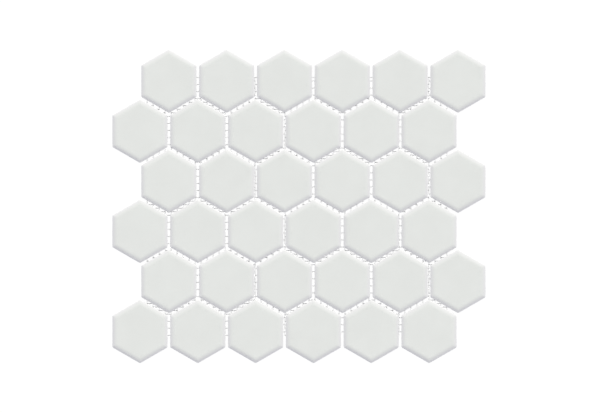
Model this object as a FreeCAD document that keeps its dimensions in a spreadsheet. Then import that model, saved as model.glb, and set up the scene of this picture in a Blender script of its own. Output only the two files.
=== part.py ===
import FreeCAD, Part

import math
import os

import Sketcher

# A sheet of hexagon floor tiles on a knitted backing net, in millimetres.
# The sheet lies face up: +Z is up, +X runs along the rows, +Y points to the first row,
# and the origin is on the floor under the middle of the tiles.

TILE_ROWS = 6
TILES_IN_ROW = 6
COLUMNS_IN_STRIP = 5

DRIVING_SIZES = {
    # hexagon tile
    "tileAcross": 51.5,  # flat side to flat side
    "tileThickness": 6.0,
    "jointWidth": 2.5,  # room for grout between two flat sides
    "cornerRadius": 1.5,  # of the six upright corners
    "crownWidth": 4.8,  # border in which the face falls towards the side
    "crownHeight": 1.7,  # from the flat face down to where the upright side starts
    "rimRadius": 0.6,  # last, tight rounding into the side
    # pressed grooves in the tile's back
    "grooveWidth": 3.0,
    "grooveDepth": 0.4,
    "groovePitch": 8.0,
    "grooveMargin": 3.0,  # plain border kept outside the grooves
    # backing net
    "netThickness": 0.5,
    "pillarPitch": 5.6,
    "pillarWidth": 1.0,
    "barPitch": 6.6,
    "barWidth": 0.8,
    "netInsetX": 33.5,  # the net is cut smaller than the tiles' outermost sides and corners
    "netInsetY": 25.0,
    "netShiftX": -1.9,  # and is glued on a little off their middle
    "netShiftY": -0.2,
}

# how far the cushion's cutting section stands clear of the tile that it cuts
SECTION_SPARE = 1.0

doc = FreeCAD.newDocument("hexagon_tile_sheet")
sizes = doc.addObject("Spreadsheet::Sheet", "sizes")
for line, (alias, value) in enumerate(DRIVING_SIZES.items(), start=1):
    sizes.set(f"A{line}", alias)
    sizes.set(f"B{line}", str(value))
    sizes.setAlias(f"B{line}", alias)
doc.recompute()


def originPlane(body, role):
    return next(f for f in body.Origin.OriginFeatures if f.Role == role)


def addBody(label):
    body = doc.addObject("PartDesign::Body", label)
    body.Label = label
    return body


def addSketch(body, name, role="XY_Plane"):
    sketch = body.newObject("Sketcher::SketchObject", name)
    sketch.AttachmentSupport = [(originPlane(body, role), "")]
    sketch.MapMode = "FlatFace"
    return sketch


def constrain(sketch, kind, *items):
    return sketch.addConstraint(Sketcher.Constraint(kind, *items))


def dimension(sketch, name, rule, kind, *items):
    # a named dimension that takes its value from the sheet
    index = constrain(sketch, kind, *items)
    sketch.renameConstraint(index, name)
    sketch.setExpression(f"Constraints.{name}", rule)


def place(part, x, y, z="0"):
    part.setExpression("Placement.Base.x", x)
    part.setExpression("Placement.Base.y", y)
    part.setExpression("Placement.Base.z", z)


def mustCut(feature, before):
    if feature.Shape.Volume >= before.Shape.Volume:
        raise RuntimeError(f"{feature.Name} cut nothing")


def outlineSketch(body):
    # a regular hexagon with a corner at its top and a flat side on its left and right
    sketch = addSketch(body, "Outline")
    reach = sizes.tileAcross / 2 / math.cos(math.pi / 6)
    middle = FreeCAD.Vector(0, 0, 0)
    corners = []
    for k in range(6):
        angle = k * math.pi / 3
        corners.append(FreeCAD.Vector(reach * math.sin(angle), reach * math.cos(angle), 0))
    for k in range(6):
        sketch.addGeometry(Part.LineSegment(corners[k], corners[(k + 1) % 6]), False)
    circle = Part.Circle(middle, FreeCAD.Vector(0, 0, 1), reach)
    guide = sketch.addGeometry(circle, True)
    constrain(sketch, "Coincident", guide, 3, -1, 1)
    for k in range(6):
        constrain(sketch, "Coincident", k, 2, (k + 1) % 6, 1)
        constrain(sketch, "PointOnObject", k, 1, guide)
        if k > 0:
            constrain(sketch, "Equal", 0, k)
    rightSide, leftSide = 1, 4
    constrain(sketch, "Vertical", rightSide)
    dimension(
        sketch, "across", "sizes.tileAcross", "Distance", rightSide, 1, leftSide, sizes.tileAcross
    )
    return sketch


def cushionSketch(body):
    # what falls away along one side: a wide crown arc that runs into a tight rim arc
    sketch = addSketch(body, "CushionSection", "XZ_Plane")
    side = sizes.tileAcross / 2
    top = sizes.tileThickness
    width = sizes.crownWidth
    height = sizes.crownHeight
    rim = sizes.rimRadius
    start = side - width
    rimHeight = top - height
    turn = 2 * math.atan((height - rim) / (width - rim))
    crown = rim + (width - rim) / math.sin(turn)
    normal = FreeCAD.Vector(0, 0, 1)

    crownCircle = Part.Circle(FreeCAD.Vector(start, top - crown, 0), normal, crown)
    rimCircle = Part.Circle(FreeCAD.Vector(side - rim, rimHeight, 0), normal, rim)
    crownArc = sketch.addGeometry(
        Part.ArcOfCircle(crownCircle, math.pi / 2 - turn, math.pi / 2), False
    )
    rimArc = sketch.addGeometry(Part.ArcOfCircle(rimCircle, 0, math.pi / 2 - turn), False)
    points = [
        FreeCAD.Vector(side, rimHeight, 0),
        FreeCAD.Vector(side + SECTION_SPARE, rimHeight, 0),
        FreeCAD.Vector(side + SECTION_SPARE, top + SECTION_SPARE, 0),
        FreeCAD.Vector(start, top + SECTION_SPARE, 0),
        FreeCAD.Vector(start, top, 0),
    ]
    foot, outer, over, inner = [
        sketch.addGeometry(Part.LineSegment(a, b), False) for a, b in zip(points, points[1:])
    ]
    constrain(sketch, "Tangent", rimArc, 2, crownArc, 1)
    constrain(sketch, "Coincident", rimArc, 1, foot, 1)
    constrain(sketch, "Coincident", foot, 2, outer, 1)
    constrain(sketch, "Coincident", outer, 2, over, 1)
    constrain(sketch, "Coincident", over, 2, inner, 1)
    constrain(sketch, "Coincident", inner, 2, crownArc, 2)
    constrain(sketch, "Horizontal", foot)
    constrain(sketch, "Vertical", outer)
    constrain(sketch, "Horizontal", over)
    constrain(sketch, "Vertical", inner)
    # the crown leaves the flat face level, and the rim meets the side upright
    constrain(sketch, "Vertical", crownArc, 3, crownArc, 2)
    constrain(sketch, "Horizontal", rimArc, 3, rimArc, 1)
    constrain(sketch, "DistanceX", foot, 1, foot, 2, SECTION_SPARE)
    constrain(sketch, "DistanceY", inner, 2, inner, 1, SECTION_SPARE)
    dimension(sketch, "rim", "sizes.rimRadius", "Radius", rimArc, rim)
    dimension(sketch, "side", "sizes.tileAcross / 2", "DistanceX", -1, 1, rimArc, 1, side)
    dimension(sketch, "width", "sizes.crownWidth", "DistanceX", crownArc, 2, rimArc, 1, width)
    dimension(sketch, "height", "sizes.crownHeight", "DistanceY", rimArc, 1, crownArc, 2, height)
    dimension(sketch, "face", "sizes.tileThickness", "DistanceY", -1, 1, crownArc, 2, top)
    return sketch


def groovesEachSide():
    # one groove lies on the middle, with as many on each side as fit inside the margin
    room = sizes.tileAcross / 2 - sizes.grooveMargin - sizes.grooveWidth / 2
    return int(room / sizes.groovePitch)


def grooveSketch(body, steps):
    # the first groove on the left: the outer grooves' ends keep the margin to the slanted sides
    sketch = addSketch(body, "GrooveOutline")
    left = sizes.groovePitch * steps + sizes.grooveWidth / 2
    reach = (sizes.tileAcross / 2 - sizes.grooveMargin) / math.cos(math.pi / 6)
    half = reach - left * math.tan(math.pi / 6)
    corners = [
        FreeCAD.Vector(-left, -half, 0),
        FreeCAD.Vector(-left + sizes.grooveWidth, -half, 0),
        FreeCAD.Vector(-left + sizes.grooveWidth, half, 0),
        FreeCAD.Vector(-left, half, 0),
    ]
    for k in range(4):
        sketch.addGeometry(Part.LineSegment(corners[k], corners[(k + 1) % 4]), False)
    for k in range(4):
        constrain(sketch, "Coincident", k, 2, (k + 1) % 4, 1)
    constrain(sketch, "Horizontal", 0)
    constrain(sketch, "Vertical", 1)
    constrain(sketch, "Horizontal", 2)
    constrain(sketch, "Symmetric", 3, 1, 0, 1, -1)
    leftRule = f"sizes.groovePitch * {steps} + sizes.grooveWidth / 2"
    halfRule = (
        "(sizes.tileAcross / 2 - sizes.grooveMargin) / cos(30 deg)"
        f" - ({leftRule}) * tan(30 deg)"
    )
    dimension(sketch, "width", "sizes.grooveWidth", "DistanceX", 0, 1, 0, 2, sizes.grooveWidth)
    dimension(sketch, "left", leftRule, "DistanceX", 0, 1, -1, 1, left)
    dimension(sketch, "half", halfRule, "DistanceY", 0, 1, -1, 1, half)
    return sketch


def makeTile():
    # one tile, face up, standing on its back over the origin
    body = addBody("tile_design")

    blank = body.newObject("PartDesign::Pad", "Blank")
    blank.Profile = outlineSketch(body)
    blank.setExpression("Length", "sizes.tileThickness")
    doc.recompute()

    corners = body.newObject("PartDesign::Fillet", "Corners")
    upright = []
    for k, edge in enumerate(blank.Shape.Edges, start=1):
        rise = abs(edge.Vertexes[0].Z - edge.Vertexes[1].Z)
        if rise > sizes.tileThickness / 2:
            upright.append(f"Edge{k}")
    corners.Base = (blank, upright)
    corners.setExpression("Radius", "sizes.cornerRadius")

    # the section runs along one side, past both its corners, and then goes round the six sides
    side = body.newObject("PartDesign::Pocket", "CushionSide")
    side.Profile = cushionSketch(body)
    side.Midplane = True
    side.setExpression("Length", "2 * sizes.tileAcross")
    cushion = body.newObject("PartDesign::PolarPattern", "Cushion")
    cushion.Originals = [side]
    cushion.Axis = (originPlane(body, "Z_Axis"), [""])
    cushion.Angle = 360
    cushion.Occurrences = 6
    body.Tip = cushion

    steps = groovesEachSide()
    groove = body.newObject("PartDesign::Pocket", "Groove")
    groove.Profile = grooveSketch(body, steps)
    groove.Reversed = True
    groove.setExpression("Length", "sizes.grooveDepth")
    body.Tip = groove
    cuts = [(side, corners), (cushion, side), (groove, cushion)]
    if steps > 0:
        grooves = body.newObject("PartDesign::LinearPattern", "Grooves")
        grooves.Originals = [groove]
        grooves.Direction = (originPlane(body, "X_Axis"), [""])
        grooves.setExpression("Length", f"sizes.groovePitch * {2 * steps}")
        grooves.Occurrences = 2 * steps + 1
        body.Tip = grooves
        cuts.append((grooves, groove))

    doc.recompute()
    for feature, before in cuts:
        mustCut(feature, before)
    return body


def layTile(design, row, place_in_row):
    # rows step by half a tile, so every second row starts further left
    body = addBody(f"tile_r{row + 1}_c{place_in_row + 1}")
    body.BaseFeature = design
    step = 0.25 if row % 2 == 0 else -0.25
    pitchesX = place_in_row - (TILES_IN_ROW - 1) / 2 + step
    pitchesY = (TILE_ROWS - 1) / 2 - row
    pitch = "(sizes.tileAcross + sizes.jointWidth)"
    place(
        body,
        f"{pitch} * {pitchesX}",
        f"{pitch} * cos(30 deg) * {pitchesY}",
        "sizes.netThickness",
    )
    return body


def loop(left, right, low, high):
    # an opening's edge, run clockwise as an inner edge has to be
    points = [
        FreeCAD.Vector(left, low, 0),
        FreeCAD.Vector(left, high, 0),
        FreeCAD.Vector(right, high, 0),
        FreeCAD.Vector(right, low, 0),
    ]
    return Part.makePolygon(points + points[:1])


def netCounts():
    # as many whole columns and openings as fit inside the tiles' outline, less the insets
    pitch = sizes.tileAcross + sizes.jointWidth
    slope = math.cos(math.pi / 6)
    width = pitch * (TILES_IN_ROW - 0.5) + sizes.tileAcross
    height = pitch * slope * (TILE_ROWS - 1) + sizes.tileAcross / slope
    columns = (width - 2 * sizes.netInsetX - sizes.pillarWidth) / sizes.pillarPitch
    openings = (height - 2 * sizes.netInsetY - sizes.barWidth) / sizes.barPitch - 0.5
    return int(columns), int(openings)


def makeNetStrip(number, columns, openings):
    # Pillars run along Y, and short bars join them, half an opening lower in every second
    # column. Strips meet in the middle of a pillar, and the net's outer pillars are whole.
    # The net was cut straight along a bar at its top, and through every second column's
    # openings at its bottom.
    start = number * COLUMNS_IN_STRIP
    count = min(COLUMNS_IN_STRIP, columns - start)
    margin = sizes.pillarWidth / 2
    half = sizes.barPitch / 2
    height = openings * sizes.barPitch + half + sizes.barWidth
    left = -margin if start == 0 else 0
    right = count * sizes.pillarPitch + (margin if start + count == columns else 0)

    bottomEdge = [(left, 0)]
    holes = []
    for column in range(count):
        holeLeft = column * sizes.pillarPitch + margin
        holeRight = (column + 1) * sizes.pillarPitch - margin
        low = sizes.barWidth
        if (start + column) % 2 == 0:
            bottomEdge += [(holeLeft, 0), (holeLeft, half), (holeRight, half), (holeRight, 0)]
            low += half
        for k in range(openings):
            high = low + sizes.barPitch - sizes.barWidth
            holes.append(loop(holeLeft, holeRight, low, high))
            low += sizes.barPitch
        if (start + column) % 2 == 1:
            holes.append(loop(holeLeft, holeRight, low, height - sizes.barWidth))
    corners = bottomEdge + [(right, 0), (right, height), (left, height), (left, 0)]
    edge = Part.makePolygon([FreeCAD.Vector(x, y, 0) for x, y in corners])

    strip = doc.addObject("Part::Feature", f"net_strip_{number + 1:02d}")
    strip.Label = strip.Name
    strip.Shape = Part.Face([edge] + holes).extrude(FreeCAD.Vector(0, 0, sizes.netThickness))
    length = f"({openings} + 0.5) * sizes.barPitch + sizes.barWidth"
    place(
        strip,
        f"sizes.netShiftX + sizes.pillarPitch * {start - columns / 2}",
        f"sizes.netShiftY - ({length}) / 2",
    )
    return strip


tile = makeTile()
subParts = []
for row in range(TILE_ROWS):
    for spot in range(TILES_IN_ROW):
        subParts.append(layTile(tile, row, spot))
columns, openings = netCounts()
for number in range(math.ceil(columns / COLUMNS_IN_STRIP)):
    subParts.append(makeNetStrip(number, columns, openings))
doc.recompute()

for item in doc.Objects:
    if "Invalid" in item.State or "Error" in item.State:
        raise RuntimeError(f"{item.Label} failed: {item.State}")
for part in subParts:
    if part.Shape.isNull() or not part.Shape.isValid():
        raise RuntimeError(f"{part.Label} has no valid shape")

os.makedirs("parts", exist_ok=True)
for part in subParts:
    part.Shape.exportStep(f"parts/{part.Label}.step")
print(f"{len(subParts)} sub-parts written, net of {columns} columns of {openings} openings")
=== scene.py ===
import math

import bmesh
import bpy
from mathutils import Matrix, Vector, noise


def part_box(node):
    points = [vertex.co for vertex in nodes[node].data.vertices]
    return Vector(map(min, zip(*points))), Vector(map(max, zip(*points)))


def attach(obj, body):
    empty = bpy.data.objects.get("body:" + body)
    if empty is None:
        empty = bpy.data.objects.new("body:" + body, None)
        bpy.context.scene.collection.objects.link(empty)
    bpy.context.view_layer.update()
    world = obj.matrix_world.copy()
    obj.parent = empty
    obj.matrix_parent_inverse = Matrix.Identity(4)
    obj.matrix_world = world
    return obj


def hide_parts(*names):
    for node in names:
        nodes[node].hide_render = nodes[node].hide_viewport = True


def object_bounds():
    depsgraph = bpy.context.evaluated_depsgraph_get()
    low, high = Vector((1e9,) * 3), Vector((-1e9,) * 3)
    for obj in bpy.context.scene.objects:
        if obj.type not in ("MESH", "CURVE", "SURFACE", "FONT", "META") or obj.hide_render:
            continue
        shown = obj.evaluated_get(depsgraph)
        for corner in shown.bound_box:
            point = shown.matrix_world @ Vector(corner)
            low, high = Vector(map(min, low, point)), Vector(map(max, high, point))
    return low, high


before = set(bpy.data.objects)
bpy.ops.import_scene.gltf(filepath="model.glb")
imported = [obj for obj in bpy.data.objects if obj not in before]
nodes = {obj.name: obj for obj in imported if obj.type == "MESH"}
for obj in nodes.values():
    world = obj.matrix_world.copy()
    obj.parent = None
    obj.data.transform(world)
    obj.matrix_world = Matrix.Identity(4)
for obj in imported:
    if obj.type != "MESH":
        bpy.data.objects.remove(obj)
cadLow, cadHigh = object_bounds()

# A net-backed sheet of matt hexagon floor tiles, seen from straight above.
# Everything is in metres: +X runs along the rows, +Y points to the first row.

millimetre = 0.001
weldGap = 0.0001 * millimetre  # points nearer than this become one
halfSector = math.pi / 6  # from the middle of a hexagon's side round to its corner
noiseSpread = (0.3, 0.7)  # nearly all of a noise's values lie between these


# Node helpers

def newMaterial(name):
    material = bpy.data.materials.new(name)
    material.use_nodes = True
    tree = material.node_tree
    return material, tree, tree.nodes["Principled BSDF"]


def addNode(tree, kind, **settings):
    node = tree.nodes.new(kind)
    for key, value in settings.items():
        setattr(node, key, value)
    return node


def addNoise(tree, source, scale, detail=2.0, roughness=0.5):
    node = addNode(tree, "ShaderNodeTexNoise")
    node.inputs["Scale"].default_value = scale
    node.inputs["Detail"].default_value = detail
    node.inputs["Roughness"].default_value = roughness
    tree.links.new(source, node.inputs["Vector"])
    return node.outputs["Fac"]


def addRange(tree, source, spread, low=0.0, high=1.0):
    # the source's values over the spread become values from low to high
    node = addNode(tree, "ShaderNodeMapRange", clamp=True)
    tree.links.new(source, node.inputs["Value"])
    for socket, value in zip(("From Min", "From Max"), spread):
        node.inputs[socket].default_value = value
    node.inputs["To Min"].default_value = low
    node.inputs["To Max"].default_value = high
    return node.outputs["Result"]


def addMath(tree, operation, first, second):
    node = addNode(tree, "ShaderNodeMath", operation=operation)
    for socket, value in zip(node.inputs, (first, second)):
        if isinstance(value, (int, float)):
            socket.default_value = value
        else:
            tree.links.new(value, socket)
    return node.outputs["Value"]


def addMix(tree, factor, first, second):
    node = addNode(tree, "ShaderNodeMix", data_type="RGBA")
    tree.links.new(factor, node.inputs["Factor"])
    firstColour, secondColour, mixedColour = node.inputs[6], node.inputs[7], node.outputs[2]
    for socket, value in ((firstColour, first), (secondColour, second)):
        if isinstance(value, tuple):
            socket.default_value = (*value, 1.0)
        else:
            tree.links.new(value, socket)
    return mixedColour


def addBump(tree, height, bump, before=None):
    node = addNode(tree, "ShaderNodeBump")
    node.inputs["Strength"].default_value, node.inputs["Distance"].default_value = bump
    tree.links.new(height, node.inputs["Height"])
    if before is not None:
        tree.links.new(before, node.inputs["Normal"])
    return node.outputs["Normal"]


def addShader(tree, kind, colour):
    node = addNode(tree, kind)
    node.inputs["Color"].default_value = (*colour, 1.0)
    return node


# Object helper

def finishMesh(bm, name, material, smoothAngle=180):
    mesh = bpy.data.meshes.new(name)
    bmesh.ops.recalc_face_normals(bm, faces=bm.faces)
    bm.to_mesh(mesh)
    bm.free()
    mesh.materials.append(material)
    mesh.shade_smooth()
    mesh.set_sharp_from_angle(angle=math.radians(smoothAngle))
    piece = bpy.data.objects.new(name, mesh)
    bpy.context.scene.collection.objects.link(piece)
    return piece


# Hexagon tiles

tileShape = {
    "cornerRadius": 1.5 * millimetre,
    "cornerSteps": 5,
    "crownWidth": 4.8 * millimetre,  # border in which the face falls towards the side
    "crownHeight": 1.7 * millimetre,  # from the flat face down to where the upright side starts
    "crownSteps": 9,
    "rimRadius": 0.6 * millimetre,
    "rimSteps": 7,
    "flatMargin": 0.5 * millimetre,  # level ring that keeps the middle of the face flat
    "glazeEnd": 3.0 * millimetre,  # height above the back where the glaze stops on the side
    "glazeThickness": 0.1 * millimetre,
    "glazeLip": 0.3,  # how far in the glaze is at its end, as a share of its thickness
    "draft": 0.12 * millimetre,  # the pressed side leans in towards the back
    "backRound": 0.4 * millimetre,
    "backSteps": 3,
    "grooveCount": 5,
    "grooveWidth": 3.0 * millimetre,
    "grooveDepth": 0.4 * millimetre,
    "groovePitch": 8.0 * millimetre,
    "grooveMargin": 3.0 * millimetre,
    "grooveSlope": 0.25 * millimetre,
    "smoothAngle": 38,
}

# sizes are per metre, and a bump is a strength and a distance
glazeLook = {
    "colour": (0.825, 0.846, 0.784),
    "mottle": (0.804, 0.824, 0.763),
    "cloudSize": 55,
    "paintedBorderShade": (0.8, 0.804, 0.773),  # painted shade: darker and bluer towards the edges, for fill light that the sloping border misses
    "paintedBorderShadeBelow": (0, 0.6 * millimetre),  # starts and is full, under the flat face
    "paintedRimLight": (0.89, 0.888, 0.865),  # painted light: the rim is paler all round, for light on its steep slopes
    "paintedRimLightBelow": (0.8 * millimetre, 1.4 * millimetre),
    "roughness": (0.43, 0.51),
    "peelSize": 650,
    "peelBump": (0.3, 0.05 * millimetre),
    "lineWaver": 0.35 * millimetre,  # how far the glaze's end strays up and down the side
    "lineSize": 220,
    "lineSoft": 0.1 * millimetre,
    "body": (0.88, 0.87, 0.85),  # unglazed, on the lower side and the back
    "bodyGrain": (0.84, 0.83, 0.805),
    "bodyRoughness": 0.85,
    "grainSize": 3500,
    "grainSpread": (0.35, 0.7),
    "grainBump": (0.5, 0.06 * millimetre),
}


def makeGlaze(tileBase, tileTop):
    look = glazeLook
    material, tree, shader = newMaterial("mattGlaze")
    place = addNode(tree, "ShaderNodeTexCoord").outputs["Object"]
    split = addNode(tree, "ShaderNodeSeparateXYZ")
    tree.links.new(place, split.inputs["Vector"])
    height = split.outputs["Z"]

    # the glaze stops in an uneven line on the side
    sway = addNoise(tree, place, look["lineSize"])
    waver = addRange(tree, sway, noiseSpread, -look["lineWaver"], look["lineWaver"])
    line = tileBase + tileShape["glazeEnd"]
    lineSpread = (line - look["lineSoft"], line + look["lineSoft"])
    glazed = addRange(tree, addMath(tree, "ADD", height, waver), lineSpread)

    # it is clouded on the face, then painted shade darkens the border and painted light pales the
    # rim
    cloud = addRange(tree, addNoise(tree, place, look["cloudSize"], detail=3.0), noiseSpread)
    glazeColour = addMix(tree, cloud, look["colour"], look["mottle"])
    # painted shade over the border, then painted light over the rim, by depth under the face
    for colour, depths in (("paintedBorderShade", "paintedBorderShadeBelow"), ("paintedRimLight", "paintedRimLightBelow")):
        start, full = (tileTop - depth for depth in look[depths])
        share = addRange(tree, height, (full, start), 1.0, 0.0)
        glazeColour = addMix(tree, share, glazeColour, look[colour])

    grain = addNoise(tree, place, look["grainSize"], detail=3.0, roughness=0.7)
    grainShare = addRange(tree, grain, look["grainSpread"])
    bodyColour = addMix(tree, grainShare, look["body"], look["bodyGrain"])
    tree.links.new(addMix(tree, glazed, bodyColour, glazeColour), shader.inputs["Base Color"])

    peel = addNoise(tree, place, look["peelSize"])
    satin = addRange(tree, peel, noiseSpread, *look["roughness"])
    rough = addNode(tree, "ShaderNodeMix")
    rough.inputs["A"].default_value = look["bodyRoughness"]
    tree.links.new(satin, rough.inputs["B"])
    tree.links.new(glazed, rough.inputs["Factor"])
    tree.links.new(rough.outputs["Result"], shader.inputs["Roughness"])

    grainHeight = addMath(tree, "MULTIPLY", grain, addMath(tree, "SUBTRACT", 1.0, glazed))
    dimpled = addBump(tree, peel, look["peelBump"])
    pressed = addBump(tree, grainHeight, look["grainBump"], dimpled)
    tree.links.new(pressed, shader.inputs["Normal"])
    return material


def tileProfile(thickness):
    # from the back's edge up the side, round the rim, over the crown and onto the flat face,
    # as pairs of distance in from the side and height above the back
    shape = tileShape
    rim, width = shape["rimRadius"], shape["crownWidth"]
    rimHeight = thickness - shape["crownHeight"]
    turn = 2 * math.atan((shape["crownHeight"] - rim) / (width - rim))
    crown = rim + (width - rim) / math.sin(turn)
    bodySide = shape["glazeThickness"]
    foot = bodySide + shape["draft"]
    for k in range(1, shape["backSteps"] + 1):
        angle = math.pi / 2 * k / shape["backSteps"]
        yield (
            foot + shape["backRound"] * (1 - math.sin(angle)),
            shape["backRound"] * (1 - math.cos(angle)),
        )
    yield bodySide, shape["glazeEnd"] - bodySide
    yield bodySide * shape["glazeLip"], shape["glazeEnd"]
    yield 0, shape["glazeEnd"] + bodySide
    for k in range(shape["rimSteps"] + 1):
        angle = (math.pi / 2 - turn) * k / shape["rimSteps"]
        yield rim * (1 - math.cos(angle)), rimHeight + rim * math.sin(angle)
    for k in range(1, shape["crownSteps"] + 1):
        angle = turn * (1 - k / shape["crownSteps"])
        yield width - crown * math.sin(angle), thickness - crown * (1 - math.cos(angle))
    yield width + shape["flatMargin"], thickness


def raiseTile(bm, half, thickness):
    # a hexagon is the back, and each step lifts the top face to the profile's next ring
    shape = tileShape
    inset, height = shape["glazeThickness"] + shape["draft"] + shape["backRound"], 0
    bmesh.ops.create_circle(
        bm, cap_ends=True, segments=6, radius=(half - inset) / math.cos(halfSector)
    )
    top = next(iter(bm.faces))
    bmesh.ops.duplicate(bm, geom=[top])
    for nextInset, nextHeight in tileProfile(thickness):
        top = bmesh.ops.extrude_discrete_faces(bm, faces=[top])["faces"][0]
        share = (half - nextInset) / (half - inset)
        bmesh.ops.scale(bm, verts=top.verts, vec=(share, share, 1))
        bmesh.ops.translate(bm, verts=top.verts, vec=(0, 0, nextHeight - height))
        inset, height = nextInset, nextHeight
    bmesh.ops.remove_doubles(bm, verts=bm.verts, dist=weldGap)
    bmesh.ops.recalc_face_normals(bm, faces=bm.faces)


def roundCorners(bm):
    # the upright corners and the mitres above them are rounded together
    leastTurn = 1e-4  # edges that turn less about the tile's middle run out to a corner
    mitres = []
    for edge in bm.edges:
        first, second = (v.co.xy.normalized() for v in edge.verts)
        if (first - second).length < leastTurn:
            mitres.append(edge)
    bmesh.ops.bevel(
        bm,
        geom=mitres,
        affect="EDGES",
        offset=tileShape["cornerRadius"] * math.tan(halfSector),
        offset_type="OFFSET",
        segments=tileShape["cornerSteps"],
        profile=0.5,
        clamp_overlap=False,
        loop_slide=True,
        material=-1,
    )


def pressGrooves(bm, half):
    # the back is cut along the grooves' edges, and the strips between them are pressed in
    shape = tileShape
    backLevel = 0.01 * millimetre  # faces lower than this are the back's
    outer = (shape["grooveCount"] - 1) / 2
    left = shape["groovePitch"] * outer + shape["grooveWidth"] / 2
    reach = (half - shape["grooveMargin"]) / math.cos(halfSector) - left * math.tan(halfSector)
    cuts = [((0, reach, 0), (0, 1, 0)), ((0, -reach, 0), (0, 1, 0))]
    middles = [shape["groovePitch"] * (k - outer) for k in range(shape["grooveCount"])]
    for middle in middles:
        for side in (-0.5, 0.5):
            cuts.append(((middle + side * shape["grooveWidth"], 0, 0), (1, 0, 0)))
    for point, direction in cuts:
        back = [f for f in bm.faces if f.calc_center_median().z < backLevel]
        edges = dict.fromkeys(e for f in back for e in f.edges)
        corners = dict.fromkeys(v for f in back for v in f.verts)
        bmesh.ops.bisect_plane(
            bm, geom=[*back, *edges, *corners], plane_co=point, plane_no=direction, dist=weldGap
        )
    grooves = []
    for face in bm.faces:
        centre = face.calc_center_median()
        inGroove = any(abs(centre.x - m) < shape["grooveWidth"] / 2 for m in middles)
        if centre.z < backLevel and inGroove and abs(centre.y) < reach:
            grooves.append(face)
    bmesh.ops.inset_individual(
        bm, faces=grooves, thickness=shape["grooveSlope"], depth=-shape["grooveDepth"]
    )


def makeTile(node, glaze):
    low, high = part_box(node)
    half = (high.x - low.x) / 2
    bm = bmesh.new()
    raiseTile(bm, half, high.z - low.z)
    roundCorners(bm)
    pressGrooves(bm, half)
    centre = (low + high) / 2
    bmesh.ops.translate(bm, verts=bm.verts, vec=(centre.x, centre.y, low.z))
    piece = finishMesh(bm, node.replace("tile", "hexagon"), glaze, tileShape["smoothAngle"])
    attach(piece, "root")
    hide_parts(node)


# Backing net

netShape = {
    "pillarPitch": 5.6 * millimetre,
    "barPitch": 6.6 * millimetre,
    "pillarWidth": 1.0 * millimetre,
    "barWidth": 0.8 * millimetre,
    "stitchYarn": 0.2 * millimetre,
    "stitchLap": 0.7 * millimetre,  # a stitch's head lies over the next one's foot
    "stitchLean": 0.9,  # share of the net's free thickness that a stitch climbs
    "stitchSteps": 5,
    "footShare": 0.6,  # of the head's width
    "inlayYarn": 0.18 * millimetre,  # runs straight through all stitches of a pillar
    "inlaySides": 4,
    "barYarn": 0.45 * millimetre,
    "barSteps": 4,
    "loopSides": 3,
    "joinGap": 0.001 * millimetre,  # where one stretch of the inlay goes on into the next
    "waver": 0.07 * millimetre,
    "waverSize": 180,  # per metre
    "waverShift": Vector((9.3, 1.5, 7.9)),  # so that it strays differently along X and Y
}

threadLook = {
    "colour": (0.96, 0.96, 0.965),
    "shade": (0.92, 0.92, 0.93),
    "fibreSize": 5200,  # per metre
    "fibreSpread": (0.35, 0.65),
    "fibreBump": (0.6, 0.05 * millimetre),
    "roughness": 1.0,
    "sheen": 0.25,
    "throughLight": 0.56,  # the loose fibres let light through
    "bending": 1.3,  # of that light, as a refractive index
}


def makeThread():
    look = threadLook
    material, tree, shader = newMaterial("netThread")
    place = addNode(tree, "ShaderNodeTexCoord").outputs["Object"]
    fibre = addNoise(tree, place, look["fibreSize"], roughness=0.6)
    share = addRange(tree, fibre, look["fibreSpread"])
    tree.links.new(addMix(tree, share, look["colour"], look["shade"]), shader.inputs["Base Color"])
    shader.inputs["Roughness"].default_value = look["roughness"]
    shader.inputs["Sheen Weight"].default_value = look["sheen"]
    shader.inputs["Transmission Weight"].default_value = look["throughLight"]
    shader.inputs["IOR"].default_value = look["bending"]
    tree.links.new(addBump(tree, fibre, look["fibreBump"]), shader.inputs["Normal"])
    return material


def makeLoop(length, width, yarn, steps, footShare=1.0, lean=0.0):
    # a closed loop of yarn, long in Y: a small ring whose halves are drawn apart
    radius = (width - yarn) / 2 / math.cos(math.pi / steps)
    bm = bmesh.new()
    section = bmesh.ops.create_circle(
        bm, cap_ends=False, segments=netShape["loopSides"], radius=yarn / 2
    )["verts"]
    stand = Matrix.Rotation(math.pi / 2, 4, "X")
    bmesh.ops.transform(bm, matrix=Matrix.Translation((radius, 0, 0)) @ stand, verts=section)
    start = Matrix.Rotation(math.pi / steps, 4, "Z")
    bmesh.ops.transform(bm, matrix=start, verts=section)
    bmesh.ops.spin(
        bm,
        geom=[*bm.verts, *bm.edges],
        cent=(0, 0, 0),
        axis=(0, 0, 1),
        angle=2 * math.pi,
        steps=steps,
        use_merge=True,
    )
    stretch = length / 2 - max(v.co.y for v in bm.verts)
    heads = [v for v in bm.verts if v.co.y > 0]
    feet = [v for v in bm.verts if v.co.y <= 0]
    bmesh.ops.translate(bm, verts=heads, vec=(0, stretch, 0))
    bmesh.ops.translate(bm, verts=feet, vec=(0, -stretch, 0))
    bmesh.ops.scale(bm, verts=feet, vec=(footShare, 1, 1))
    bmesh.ops.rotate(bm, verts=bm.verts, cent=(0, 0, 0), matrix=Matrix.Rotation(lean, 3, "X"))
    return bm


def makeInlay(length):
    # one stretch of straight yarn in Y, open at both ends where the next stretch goes on
    shape = netShape
    bm = bmesh.new()
    section = bmesh.ops.create_circle(
        bm, cap_ends=False, segments=shape["inlaySides"], radius=shape["inlayYarn"] / 2
    )["verts"]
    stand = Matrix.Rotation(math.pi / 2, 3, "X")
    bmesh.ops.rotate(bm, verts=section, cent=(0, 0, 0), matrix=stand)
    bmesh.ops.translate(bm, verts=section, vec=(0, -length / 2, 0))
    grown = bmesh.ops.extrude_edge_only(bm, edges=bm.edges[:])["geom"]
    far = [v for v in grown if isinstance(v, bmesh.types.BMVert)]
    bmesh.ops.translate(bm, verts=far, vec=(0, length, 0))
    return bm


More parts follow.
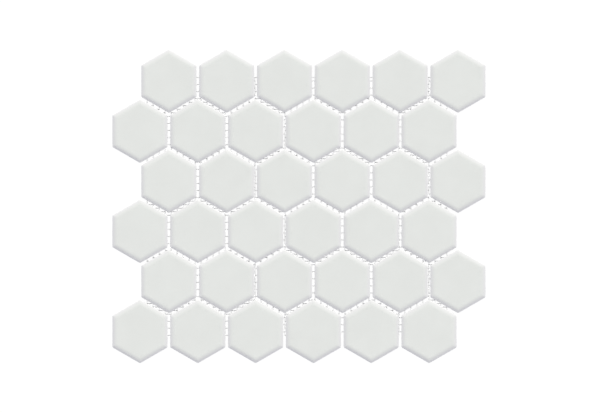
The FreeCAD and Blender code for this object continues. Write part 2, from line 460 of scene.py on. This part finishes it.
def arrayed(bm, name, start, counts, steps):
    # a row along X and then rows along Y, as real faces
    mesh = bpy.data.meshes.new(name)
    bmesh.ops.translate(bm, verts=bm.verts, vec=start)
    bm.to_mesh(mesh)
    bm.free()
    pattern = bpy.data.objects.new(name, mesh)
    bpy.context.scene.collection.objects.link(pattern)
    for count, step in zip(counts, ((steps[0], 0, 0), (0, steps[1], 0))):
        array = pattern.modifiers.new("rows", "ARRAY")
        array.count = count
        array.use_relative_offset = False
        array.use_constant_offset = True
        array.constant_offset_displace = step
    graph = bpy.context.evaluated_depsgraph_get()
    result = bpy.data.meshes.new_from_object(pattern.evaluated_get(graph))
    bpy.data.objects.remove(pattern)
    return result


def measureNet(strips):
    # the yarn runs along the middles of the pillars and bars
    shape = netShape
    boxes = [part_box(strip) for strip in strips]
    left = min(low.x for low, high in boxes) + shape["pillarWidth"] / 2
    right = max(high.x for low, high in boxes) - shape["pillarWidth"] / 2
    foot = min(low.y for low, high in boxes) + shape["barWidth"] / 2
    head = max(high.y for low, high in boxes) - shape["barWidth"] / 2
    floor = min(low.z for low, high in boxes)
    thickness = max(high.z for low, high in boxes) - floor
    return {
        "left": left,
        "right": right,
        "foot": foot,
        "head": head,
        "middle": floor + thickness / 2,
        "thickness": thickness,
        "columns": round((right - left) / shape["pillarPitch"]),
    }


def knitPillars(net):
    # chain stitches, two from one bar to the next, and a straight yarn through them
    shape = netShape
    step = shape["barPitch"] / 2
    length, yarn = step + shape["stitchLap"], shape["stitchYarn"]
    lean = math.asin((net["thickness"] - yarn) * shape["stitchLean"] / length)
    stitch = makeLoop(
        length, shape["pillarWidth"], yarn, shape["stitchSteps"], shape["footShare"], lean
    )
    start = (net["left"], net["foot"] + step / 2, net["middle"])
    counts = (net["columns"] + 1, round((net["head"] - net["foot"]) / step))
    steps = (shape["pillarPitch"], step)
    return [
        arrayed(stitch, "stitches", start, counts, steps),
        arrayed(makeInlay(step), "inlays", start, counts, steps),
    ]


def knitBars(net):
    # bars step by half an opening from one column to the next, and all columns end in a bar
    shape = netShape
    pitch, rise, yarn = shape["pillarPitch"], shape["barPitch"], shape["barYarn"]
    foot, head = net["foot"], net["head"]
    spare = 0.01  # of a rise, so that rounding drops no bar
    turn = Matrix.Rotation(math.pi / 2, 3, "Z")
    bars = []
    for column, first in ((0, foot + rise / 2), (1, foot), (1, head)):
        bar = makeLoop(pitch + yarn, shape["barWidth"], yarn, shape["barSteps"])
        bmesh.ops.rotate(bar, verts=bar.verts, cent=(0, 0, 0), matrix=turn)
        start = (net["left"] + (column + 0.5) * pitch, first, net["middle"])
        rows = 1 + int((head - first) / rise + spare)
        counts = ((net["columns"] + 1 - column) // 2, rows)
        bars.append(arrayed(bar, "bars", start, counts, (2 * pitch, rise)))
    return bars


def makeNet(strips, thread):
    shape = netShape
    net = measureNet(strips)
    bm = bmesh.new()
    for part in knitPillars(net) + knitBars(net):
        bm.from_mesh(part)
        bpy.data.meshes.remove(part)
    bmesh.ops.remove_doubles(bm, verts=bm.verts, dist=shape["joinGap"])
    openEdges = [e for e in bm.edges if e.is_boundary]
    bmesh.ops.holes_fill(bm, edges=openEdges, sides=shape["inlaySides"])
    # yarn never lies quite straight
    for vert in bm.verts:
        place = vert.co * shape["waverSize"]
        vert.co.x += noise.noise(place) * shape["waver"]
        vert.co.y += noise.noise(place + shape["waverShift"]) * shape["waver"]
    piece = finishMesh(bm, "backing_net", thread)
    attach(piece, "root")
    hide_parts(*strips)
    # the threads cover about three tenths of the cut rectangle
    return piece


# Floor, light and camera

white = (1.0, 1.0, 1.0)

stageLook = {
    "floorSize": 6.0,
    "floorWhite": 0.985,  # what the camera sees of the floor before its shadows
    "floorShaded": (0.055, 0.055, 0.055),  # lit on top of that, so that the shadows show
    "floorBounce": (0.97, 0.97, 0.97),  # throws light back up at the sheet
    "fill": (0.505, 0.505, 0.58),  # even light from all round
    "sunColour": (1.0, 0.99, 0.925),
    "sunStrength": 2.3,
    "sunAngle": 38,  # how wide it looks from the floor, which softens its shadows
    "sunHeight": 36,  # above the floor
    "sunTurn": 15,  # from +Y towards +X
}

photoFrame = {
    "widthPixels": 600,
    "sheetLeft": 1.0,  # pixels by which the sheet's middle lies left of the picture's middle
    "sheetUp": 0.3,
    "pixelSize": 0.9336 * millimetre,
    "lens": 600,
    "sensor": 36,
}


def linkBySight(tree, outputKind, unseen, seen):
    # one shader is seen directly, in a reflection or through glass, and the other lights the sheet
    path = addNode(tree, "ShaderNodeLightPath").outputs
    direct = addMath(tree, "MAXIMUM", path["Is Camera Ray"], path["Is Glossy Ray"])
    sight = addMath(tree, "MAXIMUM", direct, path["Is Transmission Ray"])
    mix = addNode(tree, "ShaderNodeMixShader")
    tree.links.new(sight, mix.inputs["Fac"])
    tree.links.new(unseen.outputs[0], mix.inputs[1])
    tree.links.new(seen.outputs[0], mix.inputs[2])
    tree.links.new(mix.outputs[0], addNode(tree, outputKind).inputs["Surface"])


def makeFloor():
    bm = bmesh.new()
    bmesh.ops.create_grid(bm, x_segments=1, y_segments=1, size=stageLook["floorSize"] / 2)
    material, tree = newMaterial("paleFloor")[:2]
    tree.nodes.clear()
    glow = addShader(tree, "ShaderNodeEmission", white)
    glow.inputs["Strength"].default_value = stageLook["floorWhite"]
    shaded = addShader(tree, "ShaderNodeBsdfDiffuse", stageLook["floorShaded"])
    bounce = addShader(tree, "ShaderNodeBsdfDiffuse", stageLook["floorBounce"])
    both = addNode(tree, "ShaderNodeAddShader")
    tree.links.new(glow.outputs[0], both.inputs[0])
    tree.links.new(shaded.outputs[0], both.inputs[1])
    linkBySight(tree, "ShaderNodeOutputMaterial", bounce, both)
    finishMesh(bm, "floor", material)


def makeWorld():
    world = bpy.data.worlds.new("studio")
    world.use_nodes = True
    tree = world.node_tree
    tree.nodes.clear()
    fill = addShader(tree, "ShaderNodeBackground", stageLook["fill"])
    backdrop = addShader(tree, "ShaderNodeBackground", white)
    linkBySight(tree, "ShaderNodeOutputWorld", fill, backdrop)
    bpy.context.scene.world = world


def makeSun():
    light = bpy.data.lights.new("softSun", "SUN")
    light.energy = stageLook["sunStrength"]
    light.color = stageLook["sunColour"]
    light.angle = math.radians(stageLook["sunAngle"])
    sun = bpy.data.objects.new("softSun", light)
    height, turn = math.radians(stageLook["sunHeight"]), math.radians(stageLook["sunTurn"])
    towards = Vector((
        math.sin(turn) * math.cos(height),
        math.cos(turn) * math.cos(height),
        math.sin(height),
    ))
    sun.rotation_euler = towards.to_track_quat("Z", "Y").to_euler()
    sun.visible_glossy = False  # its glare would hide the matt faces from low angles
    bpy.context.scene.collection.objects.link(sun)


def makeCamera():
    view = photoFrame
    data = bpy.data.cameras.new("camera")
    data.lens, data.sensor_width = view["lens"], view["sensor"]
    camera = bpy.data.objects.new("camera", data)
    distance = view["widthPixels"] * view["pixelSize"] * view["lens"] / view["sensor"]
    middle = (cadLow + cadHigh) / 2
    camera.location = (
        middle.x + view["sheetLeft"] * view["pixelSize"],
        middle.y - view["sheetUp"] * view["pixelSize"],
        cadHigh.z + distance,
    )
    data.clip_end = 4 * distance
    bpy.context.scene.collection.objects.link(camera)
    bpy.context.scene.camera = camera


# The sheet and its stage

tileNodes = sorted(name for name in nodes if name.startswith("tile_"))
stripNodes = sorted(name for name in nodes if name.startswith("net_strip_"))

firstLow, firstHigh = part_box(tileNodes[0])
glaze = makeGlaze(firstLow.z, firstHigh.z)
for name in tileNodes:
    makeTile(name, glaze)
print(f"{len(tileNodes)} tiles made")

backingNet = makeNet(stripNodes, makeThread())
print(f"net made, {len(backingNet.data.polygons)} faces")

makeFloor()
makeWorld()
makeSun()
makeCamera()
bpy.context.scene.view_settings.view_transform = "Standard"
print("floor, light and camera set")
